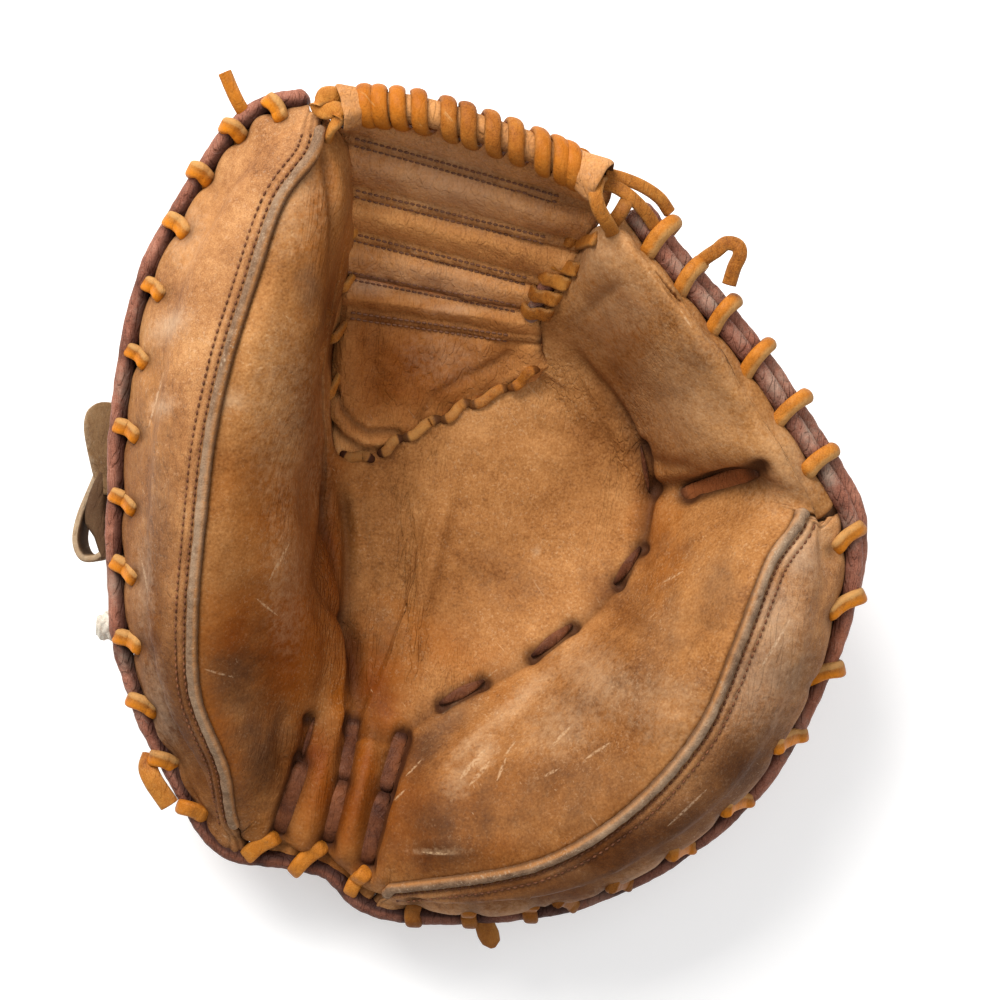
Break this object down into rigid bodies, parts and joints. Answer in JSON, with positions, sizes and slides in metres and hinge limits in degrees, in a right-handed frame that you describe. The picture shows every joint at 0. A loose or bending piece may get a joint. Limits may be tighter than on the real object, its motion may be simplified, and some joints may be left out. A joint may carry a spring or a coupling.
{
  "type": "catcher mitt",
  "caption": "Worn leather catching mitt with a padded round palm, piped seams, laced rim, laced web and a strapped opening for the hand in the back.",
  "frame": {"origin": "on the flattened face of the back that the mitt rests on, under the middle of the pocket", "axes": "+Z out of the palm, +Y from the heel to the web, +X from the thumb side to the finger side"},
  "size_m": [0.2673, 0.2885, 0.1171],
  "materials": {
    "palm_leather": "worn",
    "side_leather": "worn",
    "web_leather": "worn",
    "back_leather": "matte",
    "binding_leather": "worn",
    "welt_leather": "matte",
    "rawhide_lace": "satin",
    "dark_lace": "satin",
    "strap_suede": "matte",
    "fleece": "matte"
  },
  "bodies": {
    "root": {"palm_pad": "palm_leather", "thumb_side_panel": "side_leather", "finger_side_panel": "side_leather", "thumb_welt": "welt_leather", "finger_welt": "welt_leather", "rim_binding_palm": "binding_leather", "rim_binding_thumb_back": "binding_leather", "rim_binding_finger_back": "binding_leather", "thumb_back": "back_leather", "finger_back": "back_leather", "thumb_rim_lace": "rawhide_lace", "heel_rim_lace": "rawhide_lace", "finger_rim_lace": "rawhide_lace", "pocket_lace": "dark_lace", "heel_lace_left": "dark_lace", "heel_lace_middle": "dark_lace", "heel_lace_right": "dark_lace", "web_bar": "web_leather", "web_upper_panel": "web_leather", "web_lower_panel": "web_leather", "web_wrap_lace": "rawhide_lace", "finger_inner_binding": "binding_leather", "web_finger_lace": "rawhide_lace", "web_thumb_lace": "rawhide_lace", "web_base_lace": "rawhide_lace", "wrist_strap": "strap_suede", "strap_tab": "strap_suede", "fleece_lining": "fleece", "bar_right_lace_front": "rawhide_lace", "bar_right_lace_middle": "rawhide_lace", "bar_right_lace_back": "rawhide_lace", "bar_left_lace": "rawhide_lace", "tail_finger_side": "rawhide_lace", "tail_thumb_top": "rawhide_lace", "tail_heel": "rawhide_lace", "knot_heel_left": "rawhide_lace"}
  },
  "joints": []
}
